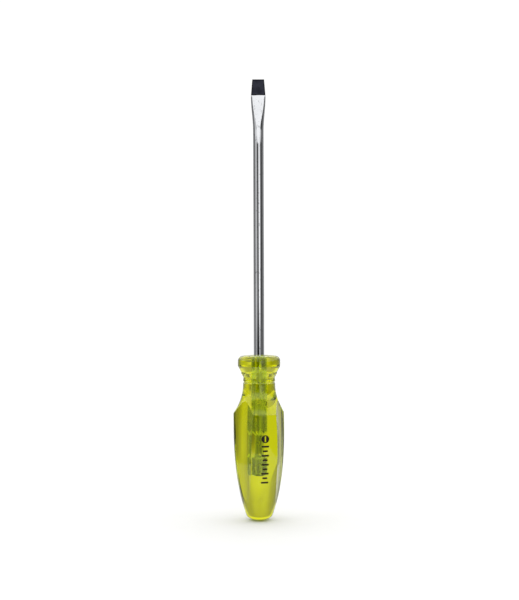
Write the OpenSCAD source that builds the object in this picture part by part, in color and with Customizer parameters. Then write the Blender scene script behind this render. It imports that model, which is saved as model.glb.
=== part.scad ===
// Slotted screwdriver: one forged steel blade whose tang is locked in a clear moulded handle.
// Millimetres. The tool stands on its butt, +Z runs to the tip, and the tip's flats face -Y and +Y.

/* [Blade] */
// Length of blade that stands out of the handle
blade_length = 150; // [120:5:200]
// Diameter of the round shank
shank_d = 5.8; // [5:0.1:6.4]
// Width of the working edge at the very tip
tip_width = 6.5; // [5.6:0.1:7.2]
// Thickness of the working edge at the very tip
tip_thickness = 1.1; // [0.8:0.1:1.6]
// Greatest width of the forged flare behind the tip
flare_width = 8.05; // [7.4:0.05:9]
// Distance from the tip back to the widest point of the flare
flare_back = 10; // [8:0.5:14]
// Length over which the round shank widens into the flare
flare_rise = 19; // [12:1:30]
// Distance from the tip back to where the flats run out on the shank
flat_length = 36; // [32:1:50]

/* [Tang] */
// Depth of the tang below the handle's top
tang_depth = 64.8; // [58:0.2:70]
// Span of the two forged wings that stop the blade from turning
wing_span = 8; // [7:0.1:9]
// Thickness of the tang where the wings are squeezed out
wing_thickness = 3.3; // [2.6:0.1:4]
// Length of the winged stretch, with its sloping shoulders
wing_length = 14.5; // [12:0.5:17]
// Length of plain round bar below the wings
tang_end_length = 9.3; // [7:0.1:12]

/* [Handle] */
// Length of the handle on its axis
handle_length = 90; // [86:1:100]
// Greatest diameter, at the top of the grip
grip_d = 28.2; // [26:0.2:30]
// Diameter where the butt's rounding starts
butt_d = 14.7; // [13:0.1:17]
// Diameter at the bottom of the neck's sweep
neck_d = 17.5; // [16:0.1:19]
// Diameter of the round collar at the top
collar_d = 23.2; // [21.5:0.1:25]
// Turn of the handle about the blade, to the middle of its printed land
land_angle = 13.5; // [-60:0.5:60]

/* [Flutes] */
// Number of long scooped flutes round the grip
flute_count = 3; // [3:1:5]
// Distance from the axis to a flute's floor at its highest point
flute_floor = 11.6; // [11.2:0.1:12.4]
// Radius of the floor's outward bow along the handle
flute_long_r = 230; // [200:5:280]
// Radius of the floor's hollow across the handle
flute_cross_r = 40; // [30:1:60]

/* [Hidden] */

// Blade: heights of its features, worked from the tip and from the handle's top
tip_z = handle_length + blade_length;
flare_z = tip_z - flare_back;
flare_start_z = flare_z - flare_rise;
flat_start_z = tip_z - flat_length;
tang_z = handle_length - tang_depth;
wing_z = tang_z + tang_end_length;
wing_top_z = wing_z + wing_length;
shoulder_rise = 2.4;
tang_chamfer = 0.6;
cut_margin = 4;

// Handle: the neck and collar keep their height, and the grip takes up the rest
neck_z = handle_length - 15.5;
neck_sweep_r = 27;
shoulder_round = 0.8;
groove_z = handle_length - 14.8;
bead_groove_z = handle_length - 12.6;
groove_depth = 0.4;
bead_groove_depth = 0.22;
groove_width = 1.5;
step_z = handle_length - 9.7;
step_r = 9.85;
step_depth = 0.12;
collar_z = handle_length - 6;
collar_round = 3;
collar_round_z = handle_length - 3.5;
butt_z = 3.2;
butt_round = 3.5;
grip_power = 2.8;
grip_drop = (grip_d - butt_d) / 2;
shoulder_z = neck_z - sqrt(pow(neck_sweep_r + shoulder_round, 2)
    - pow((neck_d - grip_d) / 2 + neck_sweep_r + shoulder_round, 2));
shoulder_angle = acos(((neck_d - grip_d) / 2 + neck_sweep_r + shoulder_round)
    / (neck_sweep_r + shoulder_round));
butt_slope = atan(grip_power * grip_drop / (shoulder_z - butt_z));

// Flutes: each is cut by a stretch of a big ring, lying across the handle
flute_crest_z = shoulder_z * 0.72;
flute_above = asin((shoulder_z + 13 - flute_crest_z) / flute_long_r);
flute_below = asin((flute_crest_z + 6) / flute_long_r);

fine = 96;
very_fine = 720;

// Points of an arc about centre, from angle a to angle b
function arc(centre, r, a, b, steps = 8) =
    [for (i = [0:steps]) centre + r * [cos(a + (b - a) * i / steps), sin(a + (b - a) * i / steps)]];

// Radius of the dome that closes an end smoothly, given its corner's centre and the depth to it
function dome_r(corner_r, corner_x, depth) =
    (pow(corner_x, 2) + pow(depth, 2) - pow(corner_r, 2)) / (2 * (depth - corner_r));

// Angle from the axis at which that dome meets its corner
function dome_angle(corner_r, corner_x, depth) =
    asin(corner_x / (dome_r(corner_r, corner_x, depth) - corner_r));

// A shallow round groove in a wall of radius r, centred at height z
function groove(r, z, depth, width) =
    [for (t = [-1:0.25:1]) [r - depth * (1 + cos(180 * t)) / 2, z + t * width / 2]];

// Grip radius at height z: full at the shoulder, and falling ever faster towards the butt
function grip_r(z) =
    grip_d / 2 - grip_drop * pow((shoulder_z - z) / (shoulder_z - butt_z), grip_power);

// Blade width at height z along the flare, rising smoothly from the shank
function flare_w(z) =
    shank_d + (flare_width - shank_d) * (1 - cos(180 * (z - flare_start_z) / flare_rise)) / 2;

// Outline of the butt, from the axis to the foot of the grip
function butt_outline() =
    let (x = butt_d / 2 - butt_round * cos(butt_slope))
    let (z = butt_z + butt_round * sin(butt_slope))
    let (r = dome_r(butt_round, x, z))
    let (a = dome_angle(butt_round, x, z))
    concat(arc([0, r], r, -90, a - 90, 4), arc([x, z], butt_round, a - 90, -butt_slope));

function grip_outline(steps = 20) =
    [for (i = [1:steps - 1]) let (z = butt_z + (shoulder_z - butt_z) * i / steps) [grip_r(z), z]];

// Outline of the shoulder and of the sweep down to the neck
function neck_outline() =
    concat(
        arc([grip_d / 2 - shoulder_round, shoulder_z], shoulder_round, 0, shoulder_angle, 4),
        arc([neck_d / 2 + neck_sweep_r, neck_z], neck_sweep_r, 180 + shoulder_angle, 180, 14),
        groove(neck_d / 2, groove_z, groove_depth, groove_width),
        groove(neck_d / 2, bead_groove_z, bead_groove_depth, groove_width)
    );

// Outline of the collar: a cone, a fine step, a steeper cone and a domed top
function collar_outline() =
    let (x = collar_d / 2 - collar_round)
    let (depth = handle_length - collar_round_z)
    let (r = dome_r(collar_round, x, depth))
    let (a = dome_angle(collar_round, x, depth))
    concat(
        groove(step_r, step_z, step_depth, groove_width / 2),
        [[collar_d / 2, collar_z]],
        arc([x, collar_round_z], collar_round, 0, 90 - a),
        arc([0, handle_length - r], r, 90 - a, 90, 6)
    );

// Solid turned shape of the handle, before the flutes and the tang's socket
module turned_handle() {
    rotate_extrude($fn = fine * 2)
        polygon(concat(butt_outline(), grip_outline(), neck_outline(), collar_outline()));
}

// Cutter of one flute, on the +X side
module flute_cutter() {
    translate([flute_floor - flute_long_r, 0, flute_crest_z])
        rotate([90, 0, 0])
        rotate([0, 0, -flute_below])
        rotate_extrude(angle = flute_above + flute_below, $fn = very_fine)
        translate([flute_long_r + flute_cross_r, 0])
        circle(r = flute_cross_r, $fn = very_fine / 2);
}

// Round bar from the tip's flare down to the wings, with a shoulder that slopes in to them
module shank_bar() {
    translate([0, 0, wing_top_z])
        cylinder(d = shank_d, h = flare_start_z - wing_top_z, $fn = fine);
    translate([0, 0, wing_top_z - shoulder_rise])
        cylinder(d1 = wing_thickness, d2 = shank_d, h = shoulder_rise, $fn = fine);
}

// Side view of the wings, with sloping shoulders
module wing_outline() {
    polygon([
        [-shank_d / 2, wing_z],
        [shank_d / 2, wing_z],
        [wing_span / 2, wing_z + shoulder_rise],
        [wing_span / 2, wing_top_z - shoulder_rise],
        [shank_d / 2, wing_top_z],
        [-shank_d / 2, wing_top_z],
        [-wing_span / 2, wing_top_z - shoulder_rise],
        [-wing_span / 2, wing_z + shoulder_rise]
    ]);
}

// Winged stretch of the tang and the round end below it
module tang_end() {
    rotate([90, 0, 90])
        linear_extrude(height = wing_thickness, center = true)
        wing_outline();
    translate([0, 0, wing_z])
        cylinder(d1 = shank_d, d2 = wing_thickness, h = shoulder_rise, $fn = fine);
    translate([0, 0, tang_z + tang_chamfer])
        cylinder(d = shank_d, h = tang_end_length - tang_chamfer, $fn = fine);
    translate([0, 0, tang_z])
        cylinder(d1 = shank_d - 2 * tang_chamfer, d2 = shank_d, h = tang_chamfer, $fn = fine);
}

// Flared working end: a turned outline squeezed between two flats that close towards the tip
module flared_tip(steps = 16) {
    intersection() {
        rotate_extrude($fn = fine)
            polygon(concat(
                [[0, flare_start_z]],
                [for (i = [0:steps])
                    let (z = flare_start_z + flare_rise * i / steps)
                    [flare_w(z) / 2, z]],
                [[tip_width / 2, tip_z], [0, tip_z]]
            ));
        flats_wedge();
    }
}

// Wedge between the two flats, as wide as the blade and more
module flats_wedge() {
    rotate([90, 0, 90])
        linear_extrude(height = flare_width + cut_margin, center = true)
        polygon([
            [-shank_d / 2 - cut_margin, flat_start_z - cut_margin],
            [shank_d / 2 + cut_margin, flat_start_z - cut_margin],
            [shank_d / 2 + cut_margin, flat_start_z],
            [shank_d / 2, flat_start_z],
            [tip_thickness / 2, tip_z],
            [-tip_thickness / 2, tip_z],
            [-shank_d / 2, flat_start_z],
            [-shank_d / 2 - cut_margin, flat_start_z]
        ]);
}

// The whole forged bar
module bar() {
    flared_tip();
    tang_end();
    intersection() {
        shank_bar();
        union() {
            flats_wedge();
            translate([-flare_width, -flare_width, 0])
                cube([2 * flare_width, 2 * flare_width, flat_start_z]);
        }
    }
}

module blade() {
    color("silver") bar();
}

module handle() {
    color("yellowgreen")
        difference() {
            turned_handle();
            for (i = [0:flute_count - 1])
                rotate([0, 0, land_angle - 90 + (i + 0.5) * 360 / flute_count])
                flute_cutter();
            bar();
        }
}

blade();
handle();
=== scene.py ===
"""Slotted screwdriver with a clear handle: the looks, built round the packed frame.

The blade is a forged bar with a chromed shank, a blackened tip and a winged tang. The handle is one clear
moulding, turned, fluted three times and socketed for the tang. A foil mark is stamped on its front land.
Lengths are in metres. +Z runs from the handle's butt to the tip, and the front of the tool faces -Y.
"""

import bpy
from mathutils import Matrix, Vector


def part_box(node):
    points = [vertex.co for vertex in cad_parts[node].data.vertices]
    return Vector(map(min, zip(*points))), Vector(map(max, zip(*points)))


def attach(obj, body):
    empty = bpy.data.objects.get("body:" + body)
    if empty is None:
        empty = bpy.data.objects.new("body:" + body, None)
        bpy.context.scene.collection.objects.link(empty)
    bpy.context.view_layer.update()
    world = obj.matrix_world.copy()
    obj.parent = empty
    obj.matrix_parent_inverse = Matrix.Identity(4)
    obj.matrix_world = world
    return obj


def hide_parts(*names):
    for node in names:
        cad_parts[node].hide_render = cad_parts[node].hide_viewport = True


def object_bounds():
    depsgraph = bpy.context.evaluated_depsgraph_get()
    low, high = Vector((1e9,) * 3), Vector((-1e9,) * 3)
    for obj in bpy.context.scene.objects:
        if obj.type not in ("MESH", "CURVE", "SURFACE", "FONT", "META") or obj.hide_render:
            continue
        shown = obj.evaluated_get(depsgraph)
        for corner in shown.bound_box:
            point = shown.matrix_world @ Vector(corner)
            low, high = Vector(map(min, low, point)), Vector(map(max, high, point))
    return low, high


bl_info = {
    "name": "Slotted Screwdriver",
    "version": (1, 0, 0),
    "blender": (4, 5, 0),
    "location": "3D View > Sidebar > Screwdriver",
    "description": "Builds a slotted screwdriver's blade, clear handle, stamped mark and studio",
    "category": "Object",
}

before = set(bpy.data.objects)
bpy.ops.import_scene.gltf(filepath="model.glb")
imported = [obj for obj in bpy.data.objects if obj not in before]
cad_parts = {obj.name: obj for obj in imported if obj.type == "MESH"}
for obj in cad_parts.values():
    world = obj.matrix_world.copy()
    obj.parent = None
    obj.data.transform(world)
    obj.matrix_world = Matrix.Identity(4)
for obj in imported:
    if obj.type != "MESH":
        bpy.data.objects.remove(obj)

from math import acos, asin, atan, cos, degrees, hypot, pi, radians, sin, sqrt

import bpy
from bpy.props import FloatProperty, FloatVectorProperty, IntProperty, PointerProperty
from mathutils import Matrix, Vector

CAD_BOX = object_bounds()
BUTT_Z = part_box("handle")[0].z
TANG_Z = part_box("blade")[0].z
TIP_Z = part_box("blade")[1].z
MM = 0.001
BLADE_OUT = 150 * MM
HANDLE_Z = TIP_Z - BLADE_OUT

# Points closer than MERGE are one point, and HAIR is the tolerance of a cutting plane
MERGE = 0.002 * MM
HAIR = 0.0001 * MM

# Brightness of what the tool reflects, in rings of cards at bearings in degrees from the front. HIGH stands
# above the horizon, LOW just below it, UNDER lower still, and TABLE is the table top
HIGH = (
    (-162, 0.72), (-148, 0.54), (-135, 0.36), (-111, 0.3), (-86, 0.15), (-70, 0.5), (-56, 0.95), (-44, 0.55),
    (-30, 0.4), (-19, 0.01), (-4, 0.01), (4, 1.1), (13, 1.75), (24, 1.05), (36, 0.6), (48, 0.1), (62, 0.03),
    (76, 0.16), (100, 0.25), (135, 0.45), (150, 0.6), (160, 0.62),
)
LOW = (
    (-164, 0.64), (-152, 0.55), (-104, 0.3), (-74, 0.27), (-60, 0.5), (-46, 0.5), (-36, 0.1), (-26, 0.03),
    (-8, 0.0), (3, 0.04), (12, 0.6), (20, 0.65), (34, 0.3), (50, 0.2), (66, 0.12), (91, 0.18), (122, 0.36),
    (140, 0.72), (153, 0.82), (168, 0.76),
)
UNDER = (
    (-164, 0.64), (-152, 0.58), (-120, 0.35), (-60, 0.4), (-20, 0.22), (20, 0.3), (60, 0.2), (100, 0.2),
    (126, 0.5), (139, 0.85), (148, 0.9), (153, 0.6), (158, 0.3), (161, 0.0), (168, 0.0), (174, 0.5),
)
TABLE = ((-151, 0.52), (-60, 0.62), (60, 0.62), (120, 0.78), (152, 0.94), (170, 0.74))

# Heights at which one of those gives way to the next, as the sine of the angle above the horizon, from where
# the change starts to where it ends
TABLE_TO_UNDER = (-0.32, -0.2)
UNDER_TO_LOW = (-0.13, -0.09)
LOW_TO_HIGH = (-0.06, 0.01)
HIGH_TO_DOME = (0.205, 0.28)
DOME_RIM_TO_OVERHEAD = (0.3, 0.7)
FLAG_FOOT = (0.42, 0.5)
FLAG_TOP = (0.76, 0.84)


# ---------------------------------------------------------------- sizes and colours


def length(label, about, default):
    """A length that a user may change."""
    return FloatProperty(name=label, description=about, default=default, min=0.0, unit="LENGTH", precision=5)


def angle(label, about, default):
    """An angle that a user may change."""
    return FloatProperty(name=label, description=about, default=radians(default), subtype="ANGLE")


def colour(label, about, default):
    """A colour that a user may change."""
    return FloatVectorProperty(
        name=label, description=about, default=default, size=3, min=0.0, max=1.0, subtype="COLOR"
    )


def number(label, about, default, low=0.0, high=1000.0):
    """A plain number that a user may change."""
    return FloatProperty(name=label, description=about, default=default, min=low, max=high)


class BladeSizes(bpy.types.PropertyGroup):
    """Sizes of the forged bar."""

    shank_d: length("Shank diameter", "Diameter of the round shank", 5.8 * MM)
    tip_width: length("Tip width", "Width of the working edge", 6.5 * MM)
    tip_thickness: length("Tip thickness", "Thickness of the working edge", 1.1 * MM)
    flare_width: length("Flare width", "Greatest width behind the tip", 8 * MM)
    flare_back: length("Flare back", "From the tip back to the widest point", 9.1 * MM)
    flare_rise: length("Flare rise", "Length over which the shank widens", 19 * MM)
    flare_thickness: length("Flare edge", "Thickness to which the flare's rounded edges would close", 4 * MM)
    flat_length: length("Flat length", "From the tip back to where the flats run out", 36 * MM)
    black_length: length("Blackened length", "From the tip back to the end of the black finish", 8.75 * MM)
    wing_span: length("Wing span", "Width of the tang across its two wings", 8 * MM)
    wing_thickness: length("Wing thickness", "Thickness of the tang between its wings", 3.3 * MM)
    wing_length: length("Wing length", "Length of the winged stretch", 14.5 * MM)
    wing_rise: length("Wing shoulder", "Length of the slope at each end of the wings", 2.4 * MM)
    tang_end: length("Tang end", "Length of plain round bar below the wings", 9.3 * MM)
    chamfer: length("Tang chamfer", "Chamfer round the buried end", 0.6 * MM)


class HandleSizes(bpy.types.PropertyGroup):
    """Sizes of the clear moulding."""

    grip_d: length("Grip diameter", "Greatest diameter, at the top of the grip", 28.19 * MM)
    butt_d: length("Butt diameter", "Diameter where the butt's rounding starts", 14.7 * MM)
    butt_z: length("Butt height", "Height at which the butt's rounding starts", 3.2 * MM)
    butt_round: length("Butt rounding", "Radius round the edge of the butt", 3.5 * MM)
    grip_power: number("Grip taper power", "How late the grip starts to narrow", 2.8, 1.0, 6.0)
    shoulder_round: length("Shoulder rounding", "Radius of the corner above the grip", 0.8 * MM)
    neck_d: length("Neck diameter", "Diameter at the foot of the neck's sweep", 17.5 * MM)
    neck_down: length("Neck position", "From the top down to the foot of the sweep", 15.5 * MM)
    neck_sweep: length("Neck sweep", "Radius of the sweep from shoulder to neck", 27 * MM)
    groove_down: length("Groove position", "From the top down to the deeper groove", 14.8 * MM)
    groove_depth: length("Groove depth", "Depth of the deeper groove", 0.4 * MM)
    bead_down: length("Second groove position", "From the top down to the shallow groove", 12.6 * MM)
    bead_depth: length("Second groove depth", "Depth of the shallow groove", 0.22 * MM)
    groove_width: length("Groove width", "Width of each groove", 1.5 * MM)
    step_down: length("Step position", "From the top down to the fine line under the collar", 9.7 * MM)
    step_r: length("Step radius", "Radius at the fine line under the collar", 9.85 * MM)
    step_depth: length("Step depth", "Depth of the fine line", 0.12 * MM)
    collar_d: length("Collar diameter", "Greatest diameter of the collar", 23.2 * MM)
    collar_down: length("Collar position", "From the top down to the collar's lower edge", 6 * MM)
    collar_round: length("Collar rounding", "Radius of the collar's top edge", 3 * MM)
    collar_round_down: length("Collar rounding position", "From the top down to its centre", 3.5 * MM)
    land_angle: angle("Land angle", "Turn from the front to the middle of the printed land", 13.5)
    flute_count: IntProperty(name="Flutes", description="Number of scooped flutes", default=3, min=1, max=6)
    flute_floor: length("Flute floor", "From the axis to a flute's floor at its highest", 11.6 * MM)
    flute_long_r: length("Flute bow", "Radius of the floor's outward bow along the handle", 230 * MM)
    flute_cross_r: length("Flute hollow", "Radius of the floor's hollow across the handle", 40 * MM)
    flute_crest: number("Flute crest", "Height of the floor's top, over the shoulder's", 0.72, 0.3, 1.0)
    socket_squeeze: length("Socket squeeze", "How far the steel bites into the wall of its socket", 0.02 * MM)


class MarkSizes(bpy.types.PropertyGroup):
    """Sizes of the stamped mark."""

    disc_d: length("Disc diameter", "Diameter of the slotted disc", 4.2 * MM)
    slot_width: length("Slot width", "Width of the bare slot in the disc", 0.75 * MM)
    slot_length: length("Slot length", "Length of the bare slot in the disc", 3.1 * MM)
    disc_up: length("Disc height", "Height of the disc's centre above the butt", 45.7 * MM)
    bar_width: length("Long bar", "Length of the long bars, across the handle", 4 * MM)
    short_width: length("Short bar", "Length of the short bars, across the handle", 2.6 * MM)
    bar_thickness: length("Bar thickness", "Thickness of each bar, along the handle", 0.95 * MM)
    bar_pitch: length("Bar pitch", "Distance from one bar to the next", 2.43 * MM)
    first_bar_up: length("First bar height", "Height of the top bar above the butt", 41.7 * MM)
    bar_count: IntProperty(name="Bars", description="Number of bars under the disc", default=9, min=1, max=20)
    film: length("Film thickness", "Thickness of the foil, half of it pressed into the handle", 0.04 * MM)


class Finishes(bpy.types.PropertyGroup):
    """Colours and finishes."""

    chrome: colour("Chrome", "Reflected colour of the chromed shank", (0.66, 0.67, 0.69))
    chrome_roughness: number("Chrome roughness", "Roughness of the polished shank", 0.035, 0.0, 1.0)
    forged: colour("Forged steel", "Colour of the oiled steel inside the handle", (0.64, 0.79, 0.52))
    # Painted highlight: the colour of the bright streaks painted on the forged steel, standing in for glints
    painted_glint: colour("Burnished steel", "Colour of its bright streaks", (0.95, 1.0, 0.85))
    black: colour("Black oxide", "Colour of the blackened tip", (0.038, 0.04, 0.056))
    black_roughness: number("Black roughness", "Roughness of the blackened tip", 0.36, 0.0, 1.0)
    acetate: colour("Acetate", "Colour that the handle passes", (0.972, 0.979, 0.0))
    acetate_density: number("Acetate depth", "How strongly it takes up the rest, per metre", 400, 0, 2000)
    skin: colour("Acetate skin", "Tint of the handle's clean surface", (0.74, 0.715, 0.57))
    smudged_skin: colour("Smudged skin", "Tint of the handle's smudged surface", (0.7, 0.68, 0.535))
    acetate_ior: number("Acetate index", "Index of refraction of the handle", 1.48, 1.0, 2.0)
    foil: colour("Foil", "Colour of the stamped foil", (0.01, 0.006, 0.003))


class StudioSettings(bpy.types.PropertyGroup):
    """Camera and light."""

    distance: length("Camera distance", "From the camera to the tool's axis", 0.56)
    offset: length("Camera offset", "From the tool's axis to the camera, towards +X", 0.35 * MM)
    height: length("Camera height", "Height of the camera above the butt", 119.8 * MM)
    view_height: length("View height", "Height that the picture takes in at the tool", 327.2 * MM)
    roll: angle("Camera roll", "Turn of the camera about its own axis", 0.18)
    floor_size: length("Floor size", "Side of the square floor", 0.3)
    backdrop: number("Backdrop", "Brightness all round behind the tool", 0.66, 0.0, 10.0)
    upper: number("Upper wall", "Brightness of the upper wall, as a share of the backdrop's", 0.72, 0.0, 2.0)
    white: number("Background", "Brightness that the camera sees all round the tool", 1.05, 0.0, 2.0)
    table: number("Table", "Brightness of the table straight behind the tool", 0.74, 0.0, 10.0)
    glow: number("Glow", "How much brighter the backdrop is straight behind the tool", 0.38, 0.0, 10.0)
    glow_core: angle("Glow core", "From the glow's middle out to where it starts to fade", 10)
    glow_reach: angle("Glow reach", "From the glow's middle out to where it has faded", 26)
    glow_dip: angle("Glow dip", "How far the glow's middle lies below the horizon", 9)
    front_sky: number("Dome's rim", "Brightness of the soft dome where it starts", 1.35, 0.0, 20.0)
    overhead: number("Overhead light", "Brightness of the soft dome overhead", 1.3, 0.0, 20.0)
    flag: number("Flag", "How much of the dome a dark card above the camera hides", 0.8, 0.0, 1.0)
    flag_half: angle("Flag width", "From the middle of that card out to its side", 45)


SETTINGS = {
    "screwdriver_blade": BladeSizes,
    "screwdriver_handle": HandleSizes,
    "screwdriver_mark": MarkSizes,
    "screwdriver_finish": Finishes,
    "screwdriver_studio": StudioSettings,
}


# ---------------------------------------------------------------- modelling by hand, in code


def deselect_all():
    """Leaves object mode with nothing selected."""
    if bpy.context.object is not None and bpy.context.object.mode != "OBJECT":
        bpy.ops.object.mode_set(mode="OBJECT")
    bpy.ops.object.select_all(action="DESELECT")


def pick(obj):
    """Makes obj the only selected object, and the active one."""
    deselect_all()
    obj.select_set(True)
    bpy.context.view_layer.objects.active = obj
    return obj


def edit(obj, select="SELECT"):
    """Enters edit mode on obj with everything selected, or nothing."""
    pick(obj)
    bpy.ops.object.mode_set(mode="EDIT")
    bpy.ops.mesh.select_mode(type="VERT")
    bpy.ops.mesh.select_all(action=select)


def done():
    """Leaves edit mode."""
    bpy.ops.object.mode_set(mode="OBJECT")


def select_verts(obj, test):
    """Selects, from edit mode, just the vertices whose place passes the test."""
    bpy.ops.mesh.select_all(action="DESELECT")
    bpy.ops.object.mode_set(mode="OBJECT")
    for v in obj.data.vertices:
        v.select = test(v.co)
    bpy.ops.object.mode_set(mode="EDIT")


def apply_modifier(obj, kind, **settings):
    """Adds a modifier to obj, sets it and applies it."""
    pick(obj)
    modifier = obj.modifiers.new(kind.title(), kind)
    for key, value in settings.items():
        setattr(modifier, key, value)
    bpy.ops.object.modifier_apply(modifier=modifier.name)


def drawn_line(name, points):
    """A chain of edges through points, drawn by extruding one vertex from point to point."""
    deselect_all()
    bpy.ops.mesh.primitive_plane_add(size=MM, location=points[0])
    line = bpy.context.object
    line.name = line.data.name = name
    bpy.ops.object.transform_apply()
    edit(line)
    bpy.ops.mesh.merge(type="CENTER")
    for start, end in zip(points, points[1:]):
        bpy.ops.mesh.extrude_vertices_move(TRANSFORM_OT_translate={"value": Vector(end) - Vector(start)})
    done()
    return line


def turned(name, outline, steps):
    """A closed solid turned about the Z axis from an outline of (radius, height) points."""
    solid = drawn_line(name, [(r, 0.0, z) for r, z in outline])
    edit(solid)
    bpy.ops.mesh.spin(steps=steps, angle=2 * pi, center=(0, 0, 0), axis=(0, 0, 1))
    bpy.ops.mesh.select_all(action="SELECT")
    bpy.ops.mesh.remove_doubles(threshold=MERGE)
    bpy.ops.mesh.dissolve_degenerate(threshold=MERGE)
    bpy.ops.mesh.select_all(action="SELECT")
    bpy.ops.mesh.normals_make_consistent(inside=False)
    done()
    return solid


def smooth_by_angle(obj, limit):
    """Shades obj smooth, except where faces meet at more than limit degrees."""
    pick(obj)
    bpy.ops.object.shade_smooth_by_angle(angle=radians(limit))


def arc(centre, radius, start, end, steps):
    """(radius, height) points of an arc, from one angle to another in degrees."""
    turn = [radians(start + (end - start) * i / steps) for i in range(steps + 1)]
    return [(centre[0] + radius * cos(t), centre[1] + radius * sin(t)) for t in turn]


def joined(*runs):
    """Runs of points as one outline, without the points that repeat."""
    points = []
    for point in (p for run in runs for p in run):
        if not points or hypot(point[0] - points[-1][0], point[1] - points[-1][1]) > 2 * MERGE:
            points.append(point)
    return points


def smoothstep(t):
    """0 to 1 with level ends."""
    t = min(max(t, 0.0), 1.0)
    return t * t * (3 - 2 * t)


# ---------------------------------------------------------------- outlines


def dome(corner_r, corner_x, depth):
    """Radius of the dome that closes a rounded end, and its angle from the axis where it meets the corner."""
    radius = (corner_x**2 + depth**2 - corner_r**2) / (2 * (depth - corner_r))
    return radius, degrees(asin(corner_x / (radius - corner_r)))


def groove(radius, height, depth, width, steps=20):
    """A shallow round groove in a wall."""
    return [
        (radius - depth * (1 + cos(pi * t)) / 2, height + t * width / 2)
        for t in (2 * i / steps - 1 for i in range(steps + 1))
    ]


def shoulder(h):
    """Height of the shoulder's corner, and the angle at which the neck's sweep leaves it."""
    reach = (h.neck_d - h.grip_d) / 2 + h.neck_sweep + h.shoulder_round
    span = h.neck_sweep + h.shoulder_round
    return HANDLE_Z - h.neck_down - sqrt(span**2 - reach**2), degrees(acos(reach / span))


def butt_outline(h):
    """The butt, from the axis to the foot of the grip."""
    slope = atan(h.grip_power * (h.grip_d - h.butt_d) / 2 / (shoulder(h)[0] - h.butt_z))
    x = h.butt_d / 2 - h.butt_round * cos(slope)
    z = h.butt_z + h.butt_round * sin(slope)
    radius, meet = dome(h.butt_round, x, z)
    end = arc((0, BUTT_Z + radius), radius, -90, meet - 90, 8)
    return end + arc((x, BUTT_Z + z), h.butt_round, meet - 90, -degrees(slope), 14)


def grip_outline(h, steps=64):
    """The grip: full at the shoulder, and narrowing ever faster towards the butt."""
    top, drop = shoulder(h)[0], (h.grip_d - h.butt_d) / 2
    heights = [h.butt_z + (top - h.butt_z) * i / steps for i in range(1, steps)]
    return [(h.grip_d / 2 - drop * ((top - z) / (top - h.butt_z)) ** h.grip_power, z) for z in heights]


def neck_outline(h):
    """The shoulder, the sweep down to the neck, and the two grooves."""
    top, lean = shoulder(h)
    corner = arc((h.grip_d / 2 - h.shoulder_round, top), h.shoulder_round, 0, lean, 8)
    sweep_centre = (h.neck_d / 2 + h.neck_sweep, HANDLE_Z - h.neck_down)
    sweep = arc(sweep_centre, h.neck_sweep, 180 + lean, 180, 30)
    deep = groove(h.neck_d / 2, HANDLE_Z - h.groove_down, h.groove_depth, h.groove_width)
    shallow = groove(h.neck_d / 2, HANDLE_Z - h.bead_down, h.bead_depth, h.groove_width)
    return joined(corner, sweep, deep, shallow)


def collar_outline(h):
    """The collar: a cone, a fine line, a steeper cone and a domed top."""
    x = h.collar_d / 2 - h.collar_round
    radius, meet = dome(h.collar_round, x, h.collar_round_down)
    line = groove(h.step_r, HANDLE_Z - h.step_down, h.step_depth, h.groove_width / 2, 6)
    edge = [(h.collar_d / 2, HANDLE_Z - h.collar_down)]
    corner = arc((x, HANDLE_Z - h.collar_round_down), h.collar_round, 0, 90 - meet, 14)
    top = arc((0, HANDLE_Z - radius), radius, 90 - meet, 90, 8)
    return joined(line, edge, corner, top)


def blade_outline(b):
    """The bar before its wings and flats are pressed: round all along, and flared behind the tip."""
    r = b.shank_d / 2
    flare_z, wing_z = TIP_Z - b.flare_back, TANG_Z + b.tang_end
    rise_z = flare_z - b.flare_rise
    end = [(0, TANG_Z), (r - b.chamfer, TANG_Z), (r, TANG_Z + b.chamfer)]
    below = spaced(r, TANG_Z + b.chamfer, wing_z, 6)
    wings = spaced(r, wing_z, wing_z + b.wing_length, 40)
    shank = spaced(r, wing_z + b.wing_length, rise_z, 80)
    wide = (b.flare_width - b.shank_d) / 2
    flare = [(r + wide * (1 - cos(pi * i / 28)) / 2, rise_z + b.flare_rise * i / 28) for i in range(29)]
    narrow = (b.tip_width - b.flare_width) / 2
    taper = [(b.flare_width / 2 + narrow * i / 20, flare_z + b.flare_back * i / 20) for i in range(21)]
    return joined(end, below, wings, shank, flare, taper, [(0, TIP_Z)])


def spaced(radius, low, high, steps):
    """Points up a straight wall."""
    return [(radius, low + (high - low) * i / steps) for i in range(steps + 1)]


# ---------------------------------------------------------------- pieces


def flute_cutter(h):
    """A closed block whose inner face is one flute's floor: hollow across, and bowed outwards lengthwise."""
    half_width, depth = 13 * MM, 12 * MM
    past_butt, past_shoulder = 6 * MM, 13 * MM
    crest_z = h.flute_crest * shoulder(h)[0]
    half = degrees(asin(half_width / h.flute_cross_r))
    hollow = arc((h.flute_cross_r, 0), h.flute_cross_r, 180 - half, 180 + half, 56)
    rim = hollow[0][0] + depth
    below = asin((crest_z - BUTT_Z + past_butt) / h.flute_long_r)
    above = asin((shoulder(h)[0] + past_shoulder - crest_z) / h.flute_long_r)
    centre = Vector((h.flute_floor - h.flute_long_r, 0, crest_z))
    lowered = Matrix.Rotation(below, 4, "Y")
    outline = [(rim, half_width), *hollow, (rim, -half_width)]
    section = [centre + lowered @ Vector((h.flute_long_r + x, y, 0)) for x, y in outline]
    block = drawn_line("flute_cutter", section)
    edit(block)
    bpy.ops.mesh.edge_face_add()
    bpy.ops.mesh.spin(steps=180, angle=below + above, center=centre, axis=(0, 1, 0))
    bpy.ops.mesh.select_all(action="SELECT")
    bpy.ops.mesh.remove_doubles(threshold=MERGE)
    bpy.ops.mesh.normals_make_consistent(inside=False)
    done()
    return block


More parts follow.
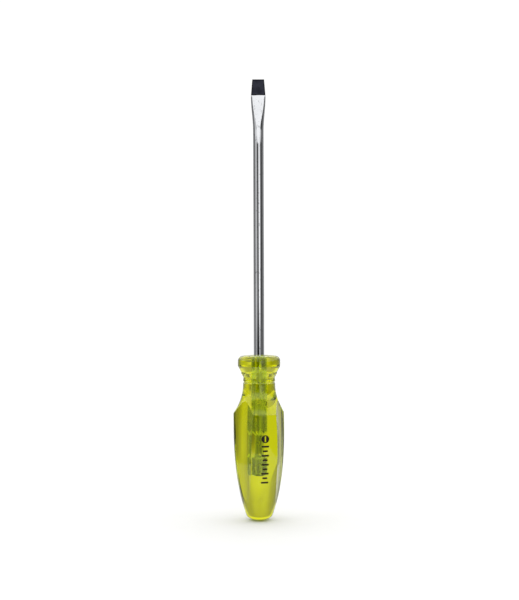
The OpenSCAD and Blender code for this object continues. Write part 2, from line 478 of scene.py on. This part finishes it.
def turned_handle(h, grow=0.0):
    """The handle before its flutes and socket, grown or shrunk a little all round the grip."""
    outline = joined(butt_outline(h), grip_outline(h), neck_outline(h), collar_outline(h))
    return turned("handle_moulding", [(r + grow if r > grow else 0.0, z) for r, z in outline], steps=240)


def carve(solid, cutter, operation="DIFFERENCE"):
    """Takes cutter's shape out of solid, or keeps only what lies inside it."""
    apply_modifier(solid, "BOOLEAN", object=cutter, operation=operation, solver="EXACT")


def tidy_mesh(obj, threshold):
    """Merges what a cut left too close together, and turns every face outwards."""
    edit(obj)
    bpy.ops.mesh.remove_doubles(threshold=threshold)
    bpy.ops.mesh.dissolve_degenerate(threshold=threshold)
    bpy.ops.mesh.select_all(action="SELECT")
    bpy.ops.mesh.normals_make_consistent(inside=False)
    done()


def copy_of(obj, name):
    """A copy of obj with its own mesh."""
    pick(obj)
    bpy.ops.object.duplicate()
    twin = bpy.context.object
    twin.name = twin.data.name = name
    return twin


def remove(obj):
    """Takes a cutter out of the scene."""
    bpy.data.objects.remove(obj)


def press_rings(obj, low, high, factors):
    """Presses each ring of vertices between two heights by the X and Y factors for its height."""
    heights = sorted({round(v.co.z, 7) for v in obj.data.vertices if low < v.co.z < high})
    edit(obj, "DESELECT")
    for z in heights:
        select_verts(obj, lambda place: abs(place.z - z) < MERGE)
        bpy.ops.transform.resize(value=(*factors(z), 1.0), center_override=(0, 0, z))
    done()


def build_blade(b):
    """Turns the bar, presses its wings and its flare, and cuts the two flats."""
    bar = turned("blade_bar", blade_outline(b), steps=96)
    wing_z = TANG_Z + b.tang_end
    wing_top = wing_z + b.wing_length
    flat_z = TIP_Z - b.flat_length

    def wings(z):
        pressed = smoothstep((z - wing_z) / b.wing_rise) * smoothstep((wing_top - z) / b.wing_rise)
        return [1 + (size / b.shank_d - 1) * pressed for size in (b.wing_thickness, b.wing_span)]

    def flare(z):
        near = min((z - flat_z) / (b.flat_length - b.flare_back), 1.0)
        return [1.0, 1 + (b.flare_thickness / b.flare_width - 1) * near]

    press_rings(bar, wing_z, wing_top, wings)
    press_rings(bar, flat_z, TIP_Z + MM, flare)
    lean = atan((b.shank_d - b.tip_thickness) / 2 / b.flat_length)
    for side in (-1, 1):
        edit(bar)
        bpy.ops.mesh.bisect(
            plane_co=(0, side * b.tip_thickness / 2, TIP_Z),
            plane_no=(0, side * cos(lean), sin(lean)),
            use_fill=True,
            clear_outer=True,
            threshold=HAIR,
        )
        done()
    sharpen_flats(bar, lean)
    smooth_by_angle(bar, 30)
    return bar


def sharpen_flats(bar, lean):
    """Marks the border of each flat sharp, so that the flat stays flat where it fades into the round."""
    edit(bar, "DESELECT")
    bpy.ops.mesh.select_mode(type="FACE")
    bpy.ops.object.mode_set(mode="OBJECT")
    alike = 1e-5
    for face in bar.data.polygons:
        face.select = abs(abs(face.normal.y) - cos(lean)) < alike and face.center.z > HANDLE_Z
    bpy.ops.object.mode_set(mode="EDIT")
    bpy.ops.mesh.region_to_loop()
    bpy.ops.mesh.mark_sharp()
    done()


def build_handle(h, bar):
    """Turns the moulding, scoops the flutes and leaves the socket for the tang."""
    clear_of_collar = 4 * MM
    handle = turned_handle(h)
    cutter = flute_cutter(h)
    for i in range(h.flute_count):
        scoop = copy_of(cutter, "scoop")
        scoop.rotation_euler.z = h.land_angle - pi / 2 + (i + 0.5) * 2 * pi / h.flute_count
        bpy.ops.object.transform_apply()
        carve(handle, scoop)
        remove(scoop)
    remove(cutter)
    tidy_mesh(handle, 5 * MERGE)
    tang = copy_of(bar, "tang")
    edit(tang)
    bpy.ops.mesh.bisect(
        plane_co=(0, 0, HANDLE_Z + clear_of_collar),
        plane_no=(0, 0, 1),
        use_fill=True,
        clear_outer=True,
        threshold=HAIR,
    )
    bpy.ops.mesh.select_all(action="SELECT")
    bpy.ops.transform.shrink_fatten(value=-h.socket_squeeze)
    done()
    carve(handle, tang)
    remove(tang)
    smooth_by_angle(handle, 14)
    return handle


def build_mark(m, h):
    """Cuts a slotted disc and a row of bars out of a thin skin that follows the grip."""
    grip_r = h.grip_d / 2
    bpy.ops.mesh.primitive_cylinder_add(
        vertices=72,
        radius=m.disc_d / 2,
        depth=grip_r,
        location=(0, -grip_r, m.disc_up),
        rotation=(pi / 2, 0, 0),
    )
    disc = bpy.context.object
    bpy.ops.object.transform_apply()
    bpy.ops.mesh.primitive_cube_add(size=1, location=(0, -grip_r, m.disc_up))
    slot = bpy.context.object
    slot.dimensions = (m.slot_width, 2 * grip_r, m.slot_length)
    bpy.ops.object.transform_apply()
    carve(disc, slot)
    remove(slot)
    shapes = [disc]
    for i in range(m.bar_count):
        wide = m.short_width if i % 2 else m.bar_width
        bpy.ops.mesh.primitive_cube_add(size=1, location=(0, -grip_r, m.first_bar_up - i * m.bar_pitch))
        bar = bpy.context.object
        bar.dimensions = (wide, grip_r, m.bar_thickness)
        bpy.ops.object.transform_apply()
        shapes.append(bar)
    deselect_all()
    for shape in shapes:
        shape.select_set(True)
    bpy.context.view_layer.objects.active = disc
    bpy.ops.object.join()
    mark = bpy.context.object
    mark.name = mark.data.name = "size_mark"
    mark.rotation_euler.z = h.land_angle
    bpy.ops.object.transform_apply()
    for grow, operation in ((m.film / 2, "INTERSECT"), (-m.film / 2, "DIFFERENCE")):
        skin = turned_handle(h, grow)
        carve(mark, skin, operation)
        remove(skin)
    tidy_mesh(mark, MERGE / 2)
    smooth_by_angle(mark, 35)
    return mark


# ---------------------------------------------------------------- finishes


def put(tree, kind, inputs=None, **settings):
    """Adds a node to tree, sets it, and gives each named input its value or link."""
    made = tree.nodes.new(kind)
    for key, value in settings.items():
        setattr(made, key, value)
    for name, value in (inputs or {}).items():
        if isinstance(value, bpy.types.NodeSocket):
            tree.links.new(value, made.inputs[name])
        else:
            made.inputs[name].default_value = value
    return made


def maths(tree, operation, first, second=0.0, third=0.0):
    """The output of a Math node."""
    return put(tree, "ShaderNodeMath", {0: first, 1: second, 2: third}, operation=operation).outputs[0]


def blended(tree, amount, first, second, kind="RGBA"):
    """The output of a mix of two colours, or of two numbers if kind is FLOAT."""
    made = put(tree, "ShaderNodeMix", data_type=kind)
    for name, value in {"Factor": amount, "A": first, "B": second}.items():
        socket = next(s for s in made.inputs if s.name == name and s.enabled)
        if isinstance(value, bpy.types.NodeSocket):
            tree.links.new(value, socket)
        else:
            socket.default_value = value
    return next(s for s in made.outputs if s.enabled)


def ranged(tree, value, low, high, to_low=0.0, to_high=1.0):
    """value carried from one range to another, with soft ends."""
    inputs = {"Value": value, "From Min": low, "From Max": high, "To Min": to_low, "To Max": to_high}
    return put(tree, "ShaderNodeMapRange", inputs, interpolation_type="SMOOTHSTEP").outputs["Result"]


def new_group(name, inputs, outputs):
    """A node group with float inputs, given as name: default, and float outputs."""
    group = bpy.data.node_groups.new(name, "ShaderNodeTree")
    for label, default in inputs.items():
        socket = group.interface.new_socket(label, in_out="INPUT", socket_type="NodeSocketFloat")
        socket.default_value = default
    for label in outputs:
        group.interface.new_socket(label, in_out="OUTPUT", socket_type="NodeSocketFloat")
    return group, group.nodes.new("NodeGroupInput"), group.nodes.new("NodeGroupOutput")


def placed(tree, scale=(1, 1, 1)):
    """Object coordinates, scaled."""
    place = put(tree, "ShaderNodeTexCoord").outputs["Object"]
    return put(tree, "ShaderNodeMapping", {"Vector": place, "Scale": scale}).outputs["Vector"]


def noise(tree, scale, **amounts):
    """The output of a noise with so many lumps per metre along X, Y and Z."""
    inputs = {"Vector": placed(tree, scale), "Scale": 1.0, **amounts}
    return put(tree, "ShaderNodeTexNoise", inputs).outputs["Fac"]


def handling_wear():
    """Fine lengthwise scratches and soft smudges, as any tool gets in a drawer and in the hand."""
    if "handling_wear" in bpy.data.node_groups:
        return bpy.data.node_groups["handling_wear"]
    group, given, out = new_group(
        "handling_wear", {"Scratch": 1.0, "Smudge": 1.0, "Grain": 1.0}, ["Scratches", "Smudges", "Height"]
    )
    lines = noise(group, (2600, 2600, 45), Detail=3.0, Roughness=0.6)
    stray = noise(group, (420, 420, 160), Detail=2.0, Distortion=0.6)
    scratches = maths(group, "MULTIPLY", ranged(group, lines, 0.56, 0.72), ranged(group, stray, 0.45, 0.65))
    smudges = ranged(group, noise(group, (95, 95, 60), Detail=4.0, Roughness=0.55), 0.42, 0.68)
    grain = noise(group, (900, 900, 900), Detail=2.0)
    scratched = maths(group, "MULTIPLY", scratches, given.outputs["Scratch"])
    height = maths(group, "SUBTRACT", maths(group, "MULTIPLY", grain, given.outputs["Grain"]), scratched)
    group.links.new(scratched, out.inputs["Scratches"])
    group.links.new(maths(group, "MULTIPLY", smudges, given.outputs["Smudge"]), out.inputs["Smudges"])
    group.links.new(height, out.inputs["Height"])
    return group


def wear_on(tree, scratch, smudge, grain):
    """The handling wear in a material, with its own amounts."""
    amounts = {"Scratch": scratch, "Smudge": smudge, "Grain": grain}
    return put(tree, "ShaderNodeGroup", amounts, node_tree=handling_wear()).outputs


def new_material(name):
    """A node material with its Principled shader."""
    material = bpy.data.materials.new(name)
    material.use_nodes = True
    return material, material.node_tree, material.node_tree.nodes["Principled BSDF"]


def feed(tree, shader, **values):
    """Sets or links the shader's inputs, named with underscores for spaces."""
    for key, value in values.items():
        socket = shader.inputs[key.replace("_", " ")]
        if isinstance(value, bpy.types.NodeSocket):
            tree.links.new(value, socket)
        else:
            socket.default_value = value


def opaque(colour_value, share=1.0):
    """A colour with full alpha, darkened or brightened to a share of itself."""
    return (*(c * share for c in colour_value), 1.0)


def bumped(tree, height, strength):
    """A surface normal from fine relief, a few micrometres deep."""
    inputs = {"Strength": strength, "Distance": 0.004 * MM, "Height": height}
    return put(tree, "ShaderNodeBump", inputs).outputs["Normal"]


def acetate(f):
    """Clear yellow-green acetate: it takes up blue as light goes through, and its skin is faintly uneven."""
    material, tree, shader = new_material("clear_acetate")
    wear = wear_on(tree, 0.5, 1.0, 0.35)
    swirl = noise(tree, (110, 110, 70), Detail=1.0)
    relief = maths(tree, "MULTIPLY_ADD", swirl, 6.0, wear["Height"])
    feed(
        tree, shader,
        Base_Color=blended(tree, wear["Smudges"], opaque(f.skin), opaque(f.smudged_skin)),
        Roughness=maths(tree, "MULTIPLY_ADD", wear["Smudges"], 0.05, 0.02),
        Normal=bumped(tree, relief, 0.25),
        IOR=f.acetate_ior,
        Transmission_Weight=1.0,
    )
    clear = {"Color": opaque(f.acetate), "Density": f.acetate_density}
    inside = put(tree, "ShaderNodeVolumeAbsorption", clear)
    tree.links.new(inside.outputs["Volume"], tree.nodes["Material Output"].inputs["Volume"])
    return material


def black_rim(tree, b):
    """1 along the borders of the blackened tip, where it is made darker, and 0 in its middle."""
    place = put(tree, "ShaderNodeSeparateXYZ", {"Vector": placed(tree)}).outputs
    down = maths(tree, "SUBTRACT", TIP_Z, place["Z"])
    taper = (b.flare_width - b.tip_width) / 2 / b.flare_back
    edge = maths(tree, "MULTIPLY_ADD", down, taper, b.tip_width / 2)
    from_side = maths(tree, "SUBTRACT", edge, maths(tree, "ABSOLUTE", place["X"]))
    from_end = maths(tree, "SUBTRACT", b.black_length, down)
    nearest = maths(tree, "MINIMUM", maths(tree, "MINIMUM", from_side, from_end), down)
    full, faded = 0.35 * MM, 0.75 * MM
    return ranged(tree, nearest, full, faded, 1.0, 0.0)


def blackened(tree, f, b, ragged):
    """Black oxide: mottled, and darker along its borders."""
    mottled = blended(tree, ranged(tree, ragged, 0.35, 0.65), opaque(f.black), opaque(f.black, 0.65))
    return blended(tree, black_rim(tree, b), mottled, opaque(f.black, 0.25))


def chromed(tree, f, smudges):
    """Chrome, a little dull where it is smudged, and with small dark pits."""
    clean = blended(tree, smudges, opaque(f.chrome), opaque(f.chrome, 0.93))
    pits = noise(tree, (1500, 1500, 700), Detail=1.0)
    return blended(tree, ranged(tree, pits, 0.6, 0.72), clean, opaque(f.chrome, 0.6))


def forged_with_painted_glints(tree, f):
    """Oiled steel with bright streaks along it: painted highlights that stand in for glints."""
    # The streaks choose where the painted highlight colour goes over the steel
    streaks = noise(tree, (900, 900, 240), Detail=2.0)
    return blended(tree, ranged(tree, streaks, 0.56, 0.7), opaque(f.forged), opaque(f.painted_glint))


def blade_steel(f, b):
    """Bright chrome on the shank, blackened steel at the tip, and bare forged steel inside the handle, with
    painted highlight streaks.
    """
    material, tree, shader = new_material("blade_steel")
    wear = wear_on(tree, 1.0, 1.0, 0.2)
    height = put(tree, "ShaderNodeSeparateXYZ", {"Vector": placed(tree)}).outputs["Z"]
    ragged = noise(tree, (260, 260, 260), Detail=3.0)
    scale = noise(tree, (1300, 1300, 800), Detail=2.0)

    black_edge = TIP_Z - b.black_length
    uneven = 0.5 * MM
    wavy = maths(tree, "MULTIPLY_ADD", ragged, -uneven, height)
    black = ranged(tree, wavy, black_edge - 0.35 * MM, black_edge - 0.15 * MM)
    bare = ranged(tree, height, HANDLE_Z - 0.4 * MM, HANDLE_Z - 0.1 * MM, 1.0, 0.0)

    smooth = maths(tree, "MULTIPLY_ADD", wear["Smudges"], 0.05, f.chrome_roughness)
    smooth = maths(tree, "MULTIPLY_ADD", wear["Scratches"], 0.12, smooth)
    smooth = maths(tree, "MULTIPLY_ADD", bare, 0.22, smooth)
    matte = maths(tree, "MULTIPLY_ADD", ragged, 0.16, f.black_roughness - 0.08)
    relief = maths(tree, "MULTIPLY_ADD", maths(tree, "MULTIPLY", scale, bare), 22.0, wear["Height"])
    # Inside the handle the steel carries painted highlight streaks
    bright = blended(tree, bare, chromed(tree, f, wear["Smudges"]), forged_with_painted_glints(tree, f))
    feed(
        tree, shader,
        Base_Color=blended(tree, black, bright, blackened(tree, f, b, ragged)),
        Metallic=1.0,
        Roughness=blended(tree, black, smooth, matte, "FLOAT"),
        Normal=bumped(tree, relief, 0.2),
    )
    return material


def stamped_foil(f):
    """Dark brown stamping foil, worn a little thin in places."""
    material, tree, shader = new_material("stamped_foil")
    wear = wear_on(tree, 0.6, 1.0, 0.6)
    feed(
        tree, shader,
        Base_Color=blended(tree, wear["Smudges"], opaque(f.foil), opaque(f.foil, 2.2)),
        Roughness=maths(tree, "MULTIPLY_ADD", wear["Smudges"], 0.15, 0.45),
        Normal=bumped(tree, wear["Height"], 0.2),
        Specular_IOR_Level=0.25,
    )
    return material


def pale_floor():
    """Plain white paper."""
    material, tree, shader = new_material("pale_floor")
    fibres = noise(tree, (60, 60, 60), Detail=3.0)
    thin, thick = opaque((0.93, 0.93, 0.93)), opaque((0.97, 0.97, 0.97))
    feed(tree, shader, Base_Color=blended(tree, fibres, thin, thick), Roughness=0.9)
    return material


def dress(obj, material):
    """Gives obj one material."""
    obj.data.materials.clear()
    obj.data.materials.append(material)


# ---------------------------------------------------------------- studio


def ring_of_cards(tree, around, backdrop, cards):
    """Brightness all round the tool: cards at bearings in degrees from the front, and the backdrop behind."""
    ring = put(tree, "ShaderNodeValToRGB", {"Fac": around})
    ring.color_ramp.interpolation = "EASE"
    stops = [(-180, backdrop), *cards, (180, backdrop)]
    elements = ring.color_ramp.elements
    while len(elements) < len(stops):
        elements.new(0.5)
    for element, (bearing, level) in zip(elements, stops):
        element.position = bearing / 360 + 0.5
        element.color = (level, level, level, 1.0)
    return ring.outputs["Color"]


def dome_light(tree, s, bearing, height):
    """The soft dome: brighter or dimmer overhead than at its rim, with a dark card above the camera."""
    dome = ranged(tree, height, *DOME_RIM_TO_OVERHEAD, s.front_sky, s.overhead)
    aside = maths(tree, "ABSOLUTE", bearing)
    flag = ranged(tree, aside, s.flag_half, 1.5 * s.flag_half, s.flag, 0.0)
    flag = maths(tree, "MULTIPLY", flag, ranged(tree, height, *FLAG_FOOT))
    flag = maths(tree, "MULTIPLY", flag, ranged(tree, height, *FLAG_TOP, 1.0, 0.0))
    return maths(tree, "MULTIPLY", dome, maths(tree, "SUBTRACT", 1.0, flag))


def glow_light(tree, s, way):
    """The glow on the backdrop behind the tool."""
    middle = (0.0, cos(s.glow_dip), -sin(s.glow_dip))
    towards = put(tree, "ShaderNodeVectorMath", {0: way, 1: middle}, operation="DOT_PRODUCT").outputs["Value"]
    return ranged(tree, towards, cos(s.glow_reach), cos(s.glow_core), 0.0, s.glow)


def studio_light(s):
    """Plain white to the camera, and to reflections a table, rings of bright and dark cards, and a dome."""
    world = bpy.data.worlds.new("studio")
    bpy.context.scene.world = world
    world.use_nodes = True
    tree = world.node_tree
    tree.nodes.clear()
    way = put(tree, "ShaderNodeTexCoord").outputs["Generated"]
    axes = put(tree, "ShaderNodeSeparateXYZ", {"Vector": way}).outputs
    height = axes["Z"]
    bearing = maths(tree, "ARCTAN2", axes["X"], maths(tree, "MULTIPLY", axes["Y"], -1.0))
    around = maths(tree, "MULTIPLY_ADD", bearing, 1 / (2 * pi), 0.5)

    high = ring_of_cards(tree, around, s.upper * s.backdrop, HIGH)
    low = ring_of_cards(tree, around, s.backdrop, LOW)
    under = ring_of_cards(tree, around, s.backdrop, UNDER)
    table = ring_of_cards(tree, around, s.table, TABLE)
    wall = blended(tree, ranged(tree, height, *LOW_TO_HIGH), low, high)
    wall = blended(tree, ranged(tree, height, *UNDER_TO_LOW), under, wall)
    wall = maths(tree, "ADD", wall, glow_light(tree, s, way))
    wall = blended(tree, ranged(tree, height, *TABLE_TO_UNDER), table, wall)
    room = blended(tree, ranged(tree, height, *HIGH_TO_DOME), wall, dome_light(tree, s, bearing, height))

    seen = put(tree, "ShaderNodeLightPath").outputs["Is Camera Ray"]
    white = opaque((s.white, s.white, s.white))
    light = put(tree, "ShaderNodeBackground", {"Color": blended(tree, seen, room, white)})
    out = put(tree, "ShaderNodeOutputWorld")
    tree.links.new(light.outputs[0], out.inputs["Surface"])


def camera(s):
    """A camera level with the middle of the tool, framing all of it."""
    place = (s.offset, -s.distance, BUTT_Z + s.height)
    bpy.ops.object.camera_add(location=place, rotation=(pi / 2, s.roll, 0))
    cam = bpy.context.object
    cam.name = cam.data.name = "camera"
    cam.data.lens = cam.data.sensor_width * s.distance / s.view_height
    cam.data.clip_start = 10 * MM
    bpy.context.scene.camera = cam


# ---------------------------------------------------------------- operators and panel


class SCREWDRIVER_OT_blade(bpy.types.Operator):
    """Forge the blade: tang, shank and flared tip"""

    bl_idname = "screwdriver.blade"
    bl_label = "Blade"

    def execute(self, context):
        scene = context.scene
        bar = build_blade(scene.screwdriver_blade)
        dress(bar, blade_steel(scene.screwdriver_finish, scene.screwdriver_blade))
        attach(bar, "root")
        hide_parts("blade")
        return {"FINISHED"}


class SCREWDRIVER_OT_handle(bpy.types.Operator):
    """Mould the clear handle round the blade's tang"""

    bl_idname = "screwdriver.handle"
    bl_label = "Handle"

    def execute(self, context):
        scene = context.scene
        handle = build_handle(scene.screwdriver_handle, bpy.data.objects["blade_bar"])
        dress(handle, acetate(scene.screwdriver_finish))
        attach(handle, "root")
        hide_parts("handle")
        return {"FINISHED"}


class SCREWDRIVER_OT_mark(bpy.types.Operator):
    """Stamp the slotted disc and its row of bars on the front land"""

    bl_idname = "screwdriver.mark"
    bl_label = "Stamped mark"

    def execute(self, context):
        scene = context.scene
        mark = build_mark(scene.screwdriver_mark, scene.screwdriver_handle)
        dress(mark, stamped_foil(scene.screwdriver_finish))
        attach(mark, "root")
        return {"FINISHED"}


class SCREWDRIVER_OT_stage(bpy.types.Operator):
    """Set up the pale floor, the soft studio light and the camera"""

    bl_idname = "screwdriver.stage"
    bl_label = "Studio"

    def execute(self, context):
        settings = context.scene.screwdriver_studio
        deselect_all()
        bpy.ops.mesh.primitive_plane_add(size=settings.floor_size, location=(0, 0, CAD_BOX[0].z))
        floor = context.object
        floor.name = floor.data.name = "floor"
        bpy.ops.object.transform_apply()
        dress(floor, pale_floor())
        studio_light(settings)
        camera(settings)
        context.scene.view_settings.view_transform = "Standard"
        return {"FINISHED"}


STEPS = (SCREWDRIVER_OT_blade, SCREWDRIVER_OT_handle, SCREWDRIVER_OT_mark, SCREWDRIVER_OT_stage)


class SCREWDRIVER_PT_panel(bpy.types.Panel):
    """Lists the screwdriver's steps and settings"""

    bl_idname = "SCREWDRIVER_PT_panel"
    bl_label = "Slotted Screwdriver"
    bl_space_type = "VIEW_3D"
    bl_region_type = "UI"
    bl_category = "Screwdriver"

    def draw(self, context):
        for step in STEPS:
            self.layout.operator(step.bl_idname)
        for name, group in SETTINGS.items():
            box = self.layout.box()
            box.label(text=group.__doc__)
            for key in group.__annotations__:
                box.prop(getattr(context.scene, name), key)


def register():
    """Registers the settings, the operators and the panel."""
    for group in SETTINGS.values():
        bpy.utils.register_class(group)
    for name, group in SETTINGS.items():
        setattr(bpy.types.Scene, name, PointerProperty(type=group))
    for step in (*STEPS, SCREWDRIVER_PT_panel):
        bpy.utils.register_class(step)


def unregister():
    """Takes them all away again."""
    for step in (SCREWDRIVER_PT_panel, *reversed(STEPS)):
        bpy.utils.unregister_class(step)
    for name in SETTINGS:
        delattr(bpy.types.Scene, name)
    for group in reversed(list(SETTINGS.values())):
        bpy.utils.unregister_class(group)


def main():
    """Builds the tool and its studio."""
    register()
    bpy.ops.screwdriver.blade()
    bpy.ops.screwdriver.handle()
    bpy.ops.screwdriver.mark()
    bpy.ops.screwdriver.stage()


if __name__ == "__main__":
    main()
